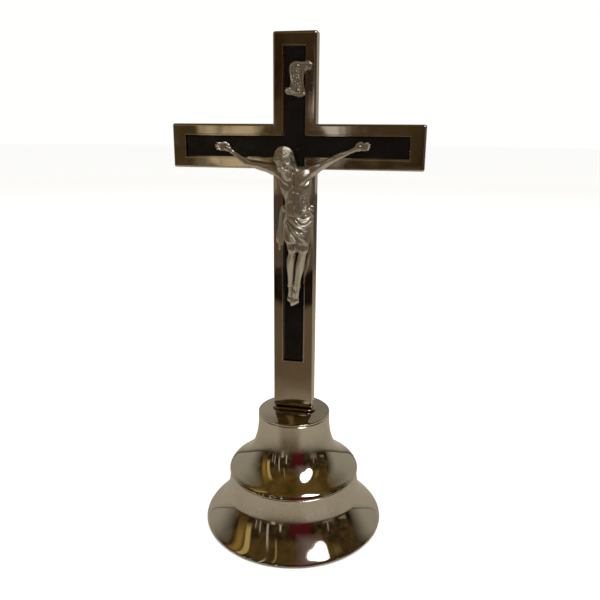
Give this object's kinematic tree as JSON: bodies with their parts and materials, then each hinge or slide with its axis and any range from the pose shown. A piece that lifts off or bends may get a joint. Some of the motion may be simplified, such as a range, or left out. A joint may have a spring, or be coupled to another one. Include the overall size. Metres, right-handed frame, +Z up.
{
  "type": "altar cross",
  "caption": "Standing altar cross: nickel cross with a black inlay, cast figure and title scroll, on a two-tier bell-shaped spun base with a domed disc.",
  "frame": {"origin": "centre of the base on the surface it stands on", "axes": "+Z up the shaft, +X along the crossbar to the viewer's right, -Y is the front, towards the viewer"},
  "size_m": [0.1466, 0.1156, 0.3],
  "materials": {
    "spun_nickel": "polished nickel plate over spun brass",
    "frame_nickel": "polished nickel plate",
    "black_inlay": "black, semi-gloss",
    "cast_nickel": "satin nickel-plated casting, bright on the high spots",
    "nail_nickel": "polished nickel plate",
    "brass_block": "machined, unpolished",
    "zinc_hardware": "zinc-plated steel"
  },
  "bodies": {
    "root": {"lower_bell": "spun_nickel", "upper_bell": "spun_nickel", "cap_disc": "spun_nickel", "foot_collar": "frame_nickel", "cross_frame": "frame_nickel", "back_plate": "frame_nickel", "inlay": "black_inlay", "foot_block": "brass_block", "tie_rod": "zinc_hardware", "clamp_washer": "zinc_hardware", "lock_washer": "zinc_hardware", "clamp_nut": "zinc_hardware", "corpus": "cast_nickel", "scroll": "cast_nickel", "hand_nail_left": "nail_nickel", "hand_nail_right": "nail_nickel", "foot_nail": "nail_nickel", "scroll_pin_upper": "nail_nickel", "scroll_pin_lower": "nail_nickel"}
  },
  "joints": []
}
